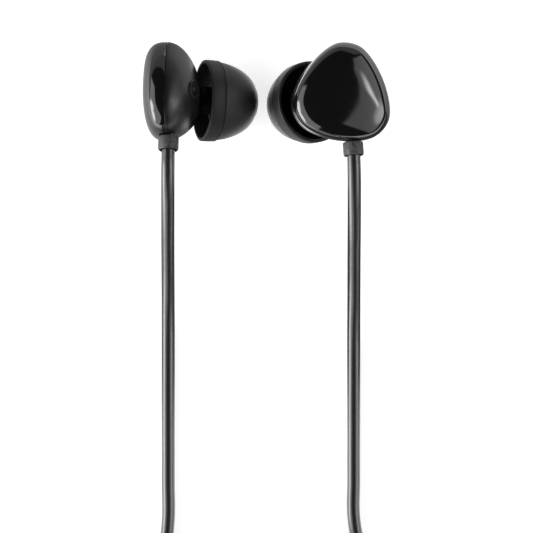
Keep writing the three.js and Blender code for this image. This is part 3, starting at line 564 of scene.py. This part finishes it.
# --- Ear tips ----------------------------------------------------------------------------------
# Soft black silicone, moulded in one piece: a domed skirt with a fine step line, a round mouth
# and an inner sleeve that stretches over the nozzle's barb.
TIP_START = 0.000891
TIP_RADIUS = 0.006433
TIP_LENGTH = 0.0086
TIP_SKIRT_STRAIGHT = 0.0009
TIP_CURVE_LENGTH = 0.007825
TIP_CURVE_START = 1.844
TIP_CURVE_END = 0.3594
TIP_STEP_AT = 0.00225
TIP_STEP = 0.00012
TIP_GROOVE = 0.00026
TIP_INSIDE_END = 0.0061
TIP_RIM_WALL = 0.0005
TIP_FRONT_WALL = 0.00095
TIP_MOUTH = 0.00195
TIP_MOUTH_DEPTH = 0.0026
SLEEVE_BORE = 0.00265
SLEEVE_WALL = 0.00075
SLEEVE_START = 0.0017


def tip_radius(distance):
    """Outer radius of the tip at a distance from the skirt's open edge."""
    along = max(distance - TIP_SKIRT_STRAIGHT, 0) / TIP_CURVE_LENGTH
    step = TIP_STEP if distance > TIP_STEP_AT else 0
    return TIP_RADIUS * (1 - along ** TIP_CURVE_START) ** TIP_CURVE_END - step


def silicone():
    """Satin silicone: very dark, softly lit, with a bloom of fine dust and skin-like grain."""
    paint, tree, shader, place = paint_with("black_silicone", {
        "IOR": 1.5, "Specular IOR Level": 0.52, "Sheen Weight": 0.04, "Sheen Roughness": 0.4})
    cloud = grain(tree, place, Scale=420, Detail=3)
    vary_tone(tree, shader, cloud, (0.008, 0.0076, 0.0076), (0.012, 0.0116, 0.0116))
    vary_shine(tree, shader, cloud, 0.5, 0.58)
    emboss(tree, shader, grain(tree, place, Scale=7000, Detail=4), 0.2, 0.00001)
    return paint


black_silicone = silicone()


def tip_outside():
    """Skirt, raised lip and groove of the step line, and dome."""
    skirt = [(tip_radius(0) - 0.00016, 0.00002), (tip_radius(0) - 0.00004, 0.0001)]
    skirt += [(tip_radius(at), at) for at in (0.00025, 0.0006, 0.0009, 0.0013, 0.0017, 0.00205)]
    line = tip_radius(TIP_STEP_AT)
    step = [
        (line + 0.00004, TIP_STEP_AT - 0.00013), (line + 0.00005, TIP_STEP_AT - 0.00007),
        (line + 0.00002, TIP_STEP_AT - 0.00002), (line - TIP_GROOVE, TIP_STEP_AT),
        (line - TIP_GROOVE, TIP_STEP_AT + 0.0001), (line - TIP_STEP, TIP_STEP_AT + 0.00016),
    ]
    places = [0.0026 + 0.0057 * (i / 30) ** 0.75 for i in range(31)]
    return skirt + step + [(tip_radius(at), at) for at in places]


def tip_mouth():
    """Rounded edge of the mouth, and its bore down to the nozzle's end."""
    return [
        (TIP_MOUTH + 0.00055, TIP_LENGTH - 0.00018), (TIP_MOUTH + 0.0004, TIP_LENGTH - 0.00008),
        (TIP_MOUTH + 0.0002, TIP_LENGTH - 0.00002), (TIP_MOUTH + 0.00006, TIP_LENGTH - 0.0001),
        (TIP_MOUTH, TIP_LENGTH - 0.0003), (TIP_MOUTH, TIP_LENGTH - TIP_MOUTH_DEPTH),
    ]


def tip_sleeve():
    """Inner sleeve around the nozzle."""
    wall = SLEEVE_BORE + SLEEVE_WALL
    return [
        (SLEEVE_BORE, TIP_LENGTH - TIP_MOUTH_DEPTH), (SLEEVE_BORE, SLEEVE_START + 0.0001),
        (SLEEVE_BORE + 0.0001, SLEEVE_START), (wall - 0.0001, SLEEVE_START),
        (wall, SLEEVE_START + 0.0001), (wall, 0.0052), (wall + 0.00015, 0.0056),
    ]


def tip_inside():
    """Inside of the dome and skirt, from the sleeve's root out to the open edge."""
    inside = []
    for i in range(12):
        at = TIP_INSIDE_END * (1 - i / 11)
        wall = TIP_RIM_WALL + (TIP_FRONT_WALL - TIP_RIM_WALL) * at / TIP_INSIDE_END
        inside.append((tip_radius(at) - wall, max(at, 0.00002)))
    return inside


def ear_tip(side):
    profile = tip_outside() + tip_mouth() + tip_sleeve() + tip_inside()
    tip = turned_piece(f"{side}_silicone_tip", profile, 128, "X")
    tip.data.transform(along_nozzle() @ Matrix.Translation((TIP_START, 0, 0)))
    sharpen(tip, 50)
    tip.data.materials.append(black_silicone)
    set_in_bud(tip, side, f"{side}_tip")
    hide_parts(f"{side}_ear_tip")


ear_tip("left")
ear_tip("right")

# --- Screens and drivers -----------------------------------------------------------------------
# Inside each bud: a perforated steel screen in the nozzle, and a 9 mm dynamic driver of steel,
# magnet, copper coil and film on a moulded frame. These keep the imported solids' shapes.


def plain_metal(name, colour, rough, metallic):
    """Bright metal with fine turning lines and a slight change of tone."""
    paint, tree, shader, place = paint_with(name, {"Metallic": metallic})
    lines = grain(tree, place, Scale=5200, Detail=4)
    vary_tone(tree, shader, lines, [shade * 0.88 for shade in colour], colour)
    vary_shine(tree, shader, lines, rough - 0.04, rough + 0.05)
    return paint


steel = plain_metal("steel", (0.56, 0.56, 0.57), 0.34, 1.0)
nickel = plain_metal("nickel_magnet", (0.62, 0.61, 0.58), 0.28, 1.0)
copper_wire = plain_metal("copper_wire", (0.72, 0.34, 0.2), 0.36, 1.0)
amber_film = plain_metal("amber_film", (0.55, 0.42, 0.22), 0.25, 0.0)
foam = moulded_matte("foam_ring", 0.03, 3000, 0.9)


def finish_node(name, paint):
    """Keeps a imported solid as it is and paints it."""
    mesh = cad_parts[name].data
    mesh.materials.clear()
    mesh.materials.append(paint)


INNER_PIECES = {
    "nozzle_screen": steel, "driver_frame": matte_housing, "driver_yoke": steel,
    "driver_magnet": nickel, "pole_plate": steel, "voice_coil": copper_wire,
    "diaphragm": amber_film, "driver_gasket": foam, "cord_anchor": steel,
}
for side in ("left", "right"):
    for part, paint in INNER_PIECES.items():
        finish_node(f"{side}_{part}", paint)

# --- Grommets ----------------------------------------------------------------------------------
# Short rubber sleeves where the cords leave, with a neck that goes up between cap and housing.
# The cord is moulded into the socket.
GROMMET_RADIUS = 0.0016
GROMMET_LENGTH = 0.0021
GROMMET_SEAT_GAP = 0.00006
GROMMET_NECK = 0.0011
GROMMET_NECK_LENGTH = 0.0017
GROMMET_BORE = GROMMET_NECK * 0.5
CORD_BORE = 0.0013
CORD_SOCKET = 0.0013

mottled_rubber = moulded_matte("mottled_rubber", 0.052, 4200, 0.55, 0.6, 3000)


def grommet(side):
    top = -GROMMET_SEAT_GAP
    bottom = top - GROMMET_LENGTH
    profile = [
        (GROMMET_NECK, top), (GROMMET_RADIUS - 0.00012, top),
        (GROMMET_RADIUS - 0.00003, top - 0.00006),
        (GROMMET_RADIUS, top - 0.0002), (GROMMET_RADIUS, bottom + 0.0003),
        (GROMMET_RADIUS - 0.00004, bottom + 0.00012), (GROMMET_RADIUS - 0.00014, bottom),
        (CORD_BORE + 0.00006, bottom), (CORD_BORE, bottom + 0.00006), (CORD_BORE, bottom + CORD_SOCKET),
        (GROMMET_BORE, bottom + CORD_SOCKET), (GROMMET_BORE, top + GROMMET_NECK_LENGTH),
        (GROMMET_NECK, top + GROMMET_NECK_LENGTH),
    ]
    sleeve = at_exit(turned_piece(f"{side}_grommet", profile, 64))
    sharpen(sleeve, 40)
    sleeve.data.materials.append(mottled_rubber)
    set_in_bud(sleeve, side)
    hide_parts(f"{side}_cord_grommet")


grommet("left")
grommet("right")

# --- Splitter ----------------------------------------------------------------------------------
# Two moulded halves of matte ABS that snap together over the three cord ends, as wide as two
# cords at one end and one at the other, with eased edges and a hairline between the halves.
SPLIT_LENGTH = 0.015
SPLIT_WIDTH = 0.0074
SPLIT_NARROW = 0.0046
SPLIT_HEIGHT = 0.0044
SPLIT_GAP = 0.00008
SPLIT_EDGE = 0.0005
SPLIT_CORNER = 0.0013
SPLIT_CORNER_STEPS = 10
SPLIT_EDGE_STEPS = 6
SPLIT_EASE = 0.00006
SPLIT_PLACE = Vector((0, -0.133, 0))


def splitter_ring(inset, height):
    """Outline of the tapered block, its corners rounded, drawn in by inset."""
    ring = []
    long = SPLIT_LENGTH / 2 - SPLIT_CORNER
    for across, along, start in (
        (SPLIT_WIDTH / 2 - SPLIT_CORNER, long, 0), (SPLIT_CORNER - SPLIT_WIDTH / 2, long, 1),
        (SPLIT_CORNER - SPLIT_NARROW / 2, -long, 2), (SPLIT_NARROW / 2 - SPLIT_CORNER, -long, 3),
    ):
        for i in range(SPLIT_CORNER_STEPS + 1):
            angle = (start + i / SPLIT_CORNER_STEPS) * math.pi / 2
            reach = SPLIT_CORNER - inset
            ring.append(Vector((across + reach * math.cos(angle),
                                along + reach * math.sin(angle), height)))
    return ring


def splitter_half(name, outside, inside):
    """One half from its outer face to the split, with a quarter-round outer edge."""
    way = 1 if inside > outside else -1
    rings = []
    for i in range(SPLIT_EDGE_STEPS + 1):
        turn = i / SPLIT_EDGE_STEPS * math.pi / 2
        rings.append(splitter_ring(SPLIT_EDGE * (1 - math.sin(turn)),
                                   outside + way * SPLIT_EDGE * (1 - math.cos(turn))))
    rings += [splitter_ring(0, inside - way * SPLIT_EASE), splitter_ring(SPLIT_EASE, inside)]
    half = skin(name, rings, False)
    sharpen(half, 50)
    half.data.transform(Matrix.Translation(SPLIT_PLACE))
    half.data.materials.append(matte_housing)
    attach(half, "earphones")
    return half


split_level = SPLIT_HEIGHT / 2
split_base = splitter_half("splitter_base", 0, split_level - SPLIT_GAP / 2)
split_cover = splitter_half("splitter_cover", SPLIT_HEIGHT, split_level + SPLIT_GAP / 2)
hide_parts("y_split_base")
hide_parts("y_split_cover")

# --- Plug --------------------------------------------------------------------------------------
# A straight 3.5 mm stereo plug: turned, bright-plated sleeve, ring and tip with dark insulators
# between them, a moulded grip with finger grooves and a ribbed rubber strain relief behind it.
PIN_RADIUS = 0.00175
PIN_GAP = 0.00005
PIN_EASE = 0.00005
FLANGE_RADIUS = 0.0025
FLANGE_THICKNESS = 0.0008
FLANGE_EASE = 0.00008
CONTACT_SLEEVE = 0.0062
INSULATOR_LENGTH = 0.0007
RING_LENGTH = 0.0023
POINT_LENGTH = 0.004
POINT_SHAPE = (
    (0.24, 1), (0.3, 0.95), (0.37, 0.78), (0.42, 0.69), (0.46, 0.73), (0.52, 0.87), (0.57, 0.93),
    (0.64, 0.93), (0.7, 0.86), (0.8, 0.68), (0.9, 0.46), (0.965, 0.29), (0.99, 0.16), (1, 0.01),
)
GRIP_RADIUS = 0.0029
GRIP_LENGTH = 0.015
GRIP_GROOVES = 4
GRIP_GROOVE = 0.0008
GRIP_SOCKET = 0.0025
GRIP_BACK_ROUND = 0.0006
RELIEF_LENGTH = 0.009
RELIEF_RADIUS = 0.002
RELIEF_RIBS = 4
RELIEF_TAPER = 0.0001
RELIEF_BORE = 0.0013
PLUG_PLACE = Vector((0.0164, -0.123, 0.00292))

bright_plate = plain_metal("bright_plate", (0.8, 0.79, 0.76), 0.16, 1.0)
dark_insulator = moulded_matte("dark_insulator", 0.012, 5000, 0.25)


def contact(radius, length):
    """A plain turned ring with both rims eased."""
    return [(AXIS_GAP, 0), (radius - PIN_EASE, 0), (radius, PIN_EASE), (radius, length - PIN_EASE),
            (radius - PIN_EASE, length), (AXIS_GAP, length)]


def plug_piece(name, profile, along, paint):
    """Turns a piece of the plug and sets it at a distance along the plug's axis."""
    piece = turned_piece(f"stereo_{name}", profile, 72)
    sharpen(piece, 32)
    piece.data.transform(Matrix.Translation(PLUG_PLACE + Vector((0, along, 0))))
    piece.data.materials.append(paint)
    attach(piece, "earphones")
    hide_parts(name)


def grip_profile():
    """Moulded grip from the flange back: straight, four finger grooves, a rounded end."""
    profile = [(AXIS_GAP, -PIN_GAP), (GRIP_RADIUS - 0.00025, -PIN_GAP),
               (GRIP_RADIUS - 0.00007, -0.00013), (GRIP_RADIUS, -0.00035)]
    for i in range(GRIP_GROOVES):
        at = -GRIP_LENGTH * 0.45 - i * GRIP_GROOVE * 2
        for k in range(9):
            dip = GRIP_GROOVE / 3 * math.sin(k / 8 * math.pi) ** 0.6
            profile.append((GRIP_RADIUS - dip, at - GRIP_GROOVE * k / 8))
    for k in range(7):
        turn = k / 6 * math.pi / 2
        profile.append((GRIP_RADIUS - GRIP_BACK_ROUND * (1 - math.cos(turn)),
                        -GRIP_LENGTH + 0.0014 * (1 - math.sin(turn))))
    return profile + [(0.0016, -GRIP_LENGTH), (0.00155, -GRIP_LENGTH + GRIP_SOCKET),
                      (AXIS_GAP, -GRIP_LENGTH + GRIP_SOCKET)]


def relief_profile():
    """Rubber sleeve behind the grip, its ribs a little smaller toward the cord."""
    start = -GRIP_LENGTH - 0.00015
    end = start - RELIEF_LENGTH
    pitch = RELIEF_LENGTH / RELIEF_RIBS
    profile = [(AXIS_GAP, start + 0.0024), (0.0015, start + 0.0024), (0.0015, start)]
    for i in range(RELIEF_RIBS):
        radius, at = RELIEF_RADIUS - i * RELIEF_TAPER, start - i * pitch
        low = radius - RELIEF_TAPER * 2.2
        profile += [(radius - 0.0001, at), (radius, at - 0.0001), (radius, at - pitch * 0.6),
                    (radius - 0.0001, at - pitch * 0.65), (low, at - pitch * 0.7),
                    (low, at - pitch * 0.94)]
    return profile + [(RELIEF_BORE + 0.0002, end), (RELIEF_BORE, end),
                      (RELIEF_BORE, end + 0.006), (AXIS_GAP, end + 0.006)]


sleeve_end = FLANGE_THICKNESS + CONTACT_SLEEVE
plug_sleeve = [
    (AXIS_GAP, 0), (FLANGE_RADIUS - FLANGE_EASE, 0), (FLANGE_RADIUS, FLANGE_EASE),
    (FLANGE_RADIUS, FLANGE_THICKNESS - FLANGE_EASE),
    (FLANGE_RADIUS - FLANGE_EASE, FLANGE_THICKNESS),
    (PIN_RADIUS, FLANGE_THICKNESS), (PIN_RADIUS, sleeve_end - PIN_EASE),
    (PIN_RADIUS - PIN_EASE, sleeve_end), (AXIS_GAP, sleeve_end),
]
insulator = contact(PIN_RADIUS - PIN_EASE, INSULATOR_LENGTH)
plug_point = [(AXIS_GAP, 0), (PIN_RADIUS - PIN_EASE, 0), (PIN_RADIUS, PIN_EASE)]
plug_point += [(PIN_RADIUS * width, POINT_LENGTH * part) for part, width in POINT_SHAPE]

plug_piece("plug_strain_relief", relief_profile(), 0, matte_housing)
plug_piece("plug_grip", grip_profile(), 0, matte_housing)
pin_at = 0.0
for name, length, profile, paint, slot in (
    ("plug_sleeve", sleeve_end, plug_sleeve, bright_plate, "plug_metal"),
    ("plug_rear_insulator", INSULATOR_LENGTH, insulator, dark_insulator, "plug_insulator"),
    ("plug_ring", RING_LENGTH, contact(PIN_RADIUS, RING_LENGTH), bright_plate, "plug_metal"),
    ("plug_front_insulator", INSULATOR_LENGTH, insulator, dark_insulator, "plug_insulator"),
    ("plug_tip", POINT_LENGTH, plug_point, bright_plate, "plug_metal"),
):
    plug_piece(name, profile, pin_at, paint)
    pin_at += length + PIN_GAP

# --- Cords -------------------------------------------------------------------------------------
# Round cords of smooth black elastomer, extruded 2.1 mm thick. Each side cord is moulded into its
# grommet, runs down over the table to a three-turn coil and ends in the splitter, where the main
# cord starts. Past the picture's edge it lies in a coil of 10.5 turns, and the plug is on its end.
CORD_DIAMETER = 0.0021
CORD_TABLE_HEIGHT = 0.00107
TURN_PITCH = 0.0026
LAYER_PITCH = 0.0026
COIL_LAYERS = 4
COIL_STEPS = 24
SIDE_COIL_RADIUS = 0.0085
SIDE_COIL_TURNS = 3
SIDE_COIL_ASIDE = 0.00975
SIDE_COIL_DOWN = -0.081
MAIN_COIL_RADIUS = 0.0152
MAIN_COIL_TURNS = 10.5
MAIN_COIL_DOWN = -0.169

LEFT_RUN = [
    (-15.23, -6.87, 13.07), (-15.25, -8.6, 13.53), (-15.28, -11, 13.9), (-15.32, -14.5, 13.25),
    (-15.41, -19, 10.7), (-15.52, -24, 7), (-15.6, -29, 3.75), (-15.64, -34.5, 1.7),
    (-15.66, -41, 1.08), (-15.66, -50, 1.07), (-15.66, -60, 1.07), (-15.72, -67.6, 1.07),
    (-16.4, -71.8, 1.07), (-17.6, -75.6, 1.07),
]
RIGHT_RUN = [
    (13.52, -7.69, 13.16), (13.61, -9.4, 13.37), (13.67, -12, 13.45), (13.7, -15.5, 12.85),
    (13.75, -20, 10.8), (13.82, -25, 7.3), (13.9, -30, 4.1), (13.94, -35.5, 1.9),
    (13.96, -42, 1.1), (13.96, -51, 1.07), (13.96, -60, 1.07), (14.05, -67, 1.07),
    (15.0, -71, 1.07), (16.9, -74.9, 1.07),
]
LEFT_TAIL = [
    (-18.25, -86, 8.75), (-18.1, -90, 7.6), (-17.7, -95, 5), (-16.9, -100, 2.5),
    (-15.2, -105, 1.25), (-12.4, -110, 1.07), (-8.8, -114.5, 1.15), (-5.2, -118.3, 1.5),
    (-2.7, -122, 2), (-1.75, -125.6, 2.2), (-1.7, -128.4, 2.2),
]
RIGHT_TAIL = [
    (18.2, -86, 8.75), (17.9, -90, 7.7), (17.1, -95, 5.2), (15.6, -100, 2.7),
    (13.1, -104.8, 1.35), (10, -109.4, 1.07), (7, -113.8, 1.2), (4.4, -118, 1.6),
    (2.5, -122, 2.05), (1.75, -125.6, 2.2), (1.7, -128.4, 2.2),
]
MAIN_LEAD = [
    (0, -137.6, 2.2), (0, -140.6, 2.2), (-0.5, -143.8, 1.8), (-2.6, -147.8, 1.2),
    (-6, -151.4, 1.07), (-9.9, -154.4, 1.07), (-13, -158, 1.07), (-14.8, -162.3, 1.07),
]
MAIN_TAIL = [
    (15.36, -164, 8.82), (15.5, -161, 8.1), (15.8, -157.5, 6.5), (16.1, -153.5, 4.5),
    (16.3, -150, 3.3), (16.4, -147.2, 2.92), (16.4, -141.6, 2.92),
]


def metres(route):
    """Routes are written in millimetres."""
    return [Vector(point) * 0.001 for point in route]


def smooth_rise(turns_past):
    """0 a quarter turn before a layer ends, 1 a quarter turn after it."""
    part = min(max((turns_past + 0.25) / 0.5, 0.0), 1.0)
    return part * part * (3 - 2 * part)


def wound_cord(centre, radius, turns, start, spin):
    """Points of a coil that spirals in and out, a layer higher after each turn-round."""
    per_layer = turns / COIL_LAYERS
    points = []
    for i in range(round(turns * COIL_STEPS) + 1):
        turn = i / COIL_STEPS
        layer = min(int(turn / per_layer), COIL_LAYERS - 1)
        into_layer = turn - layer * per_layer
        inward = into_layer if layer % 2 == 0 else per_layer - into_layer
        reach = radius - TURN_PITCH * inward
        rise = sum(smooth_rise(turn - k * per_layer) for k in range(1, COIL_LAYERS))
        angle = start + spin * turn * 2 * math.pi
        points.append(Vector((
            centre[0] + reach * math.cos(angle),
            centre[1] + reach * math.sin(angle),
            CORD_TABLE_HEIGHT + LAYER_PITCH * rise,
        )))
    return points


def elastomer():
    """Smooth black cord skin: faintly wavy along its length, with a soft shine."""
    paint, tree, shader, place = paint_with("cord_skin", {
        "Base Color": (0.01, 0.01, 0.0103, 1), "IOR": 1.5, "Specular IOR Level": 1.0,
        "Coat Weight": 0.3, "Coat Roughness": 0.24})
    vary_shine(tree, shader, grain(tree, place, Scale=2600, Detail=3), 0.28, 0.34)
    emboss(tree, shader, grain(tree, place, Scale=450, Detail=2), 0.08, 0.00005)
    return paint


cord_skin = elastomer()


def round_cord(name, points):
    """A round cord through its points, as one open curve."""
    curve = bpy.data.curves.new(name, "CURVE")
    curve.dimensions = "3D"
    curve.bevel_depth = CORD_DIAMETER / 2
    curve.bevel_resolution = 6
    curve.resolution_u = 5
    curve.use_fill_caps = True
    spline = curve.splines.new("BEZIER")
    spline.bezier_points.add(len(points) - 1)
    for knot, point in zip(spline.bezier_points, points):
        knot.co = point
        knot.handle_left_type = knot.handle_right_type = "AUTO"
    curve.materials.append(cord_skin)
    cord = bpy.data.objects.new(name, curve)
    bpy.context.scene.collection.objects.link(cord)
    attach(cord, "earphones")
    return cord


left_way = metres(LEFT_RUN) + wound_cord(
    (-SIDE_COIL_ASIDE, SIDE_COIL_DOWN), SIDE_COIL_RADIUS, SIDE_COIL_TURNS, math.pi, 1)
left_way += metres(LEFT_TAIL)
right_way = metres(RIGHT_RUN) + wound_cord(
    (SIDE_COIL_ASIDE, SIDE_COIL_DOWN), SIDE_COIL_RADIUS, SIDE_COIL_TURNS, 0.0, -1)
right_way += metres(RIGHT_TAIL)
main_way = metres(MAIN_LEAD) + wound_cord(
    (0.0, MAIN_COIL_DOWN), MAIN_COIL_RADIUS, MAIN_COIL_TURNS, math.pi, 1)
main_way += metres(MAIN_TAIL)
left_cord = round_cord("left_cord", left_way)
right_cord = round_cord("right_cord", right_way)
main_cord = round_cord("main_cord", main_way)
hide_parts("left_cord_run", "left_cord_coil", "left_cord_tail")
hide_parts("right_cord_run", "right_cord_coil", "right_cord_tail")
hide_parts("main_cord_lead", "main_cord_coil", "main_cord_tail")
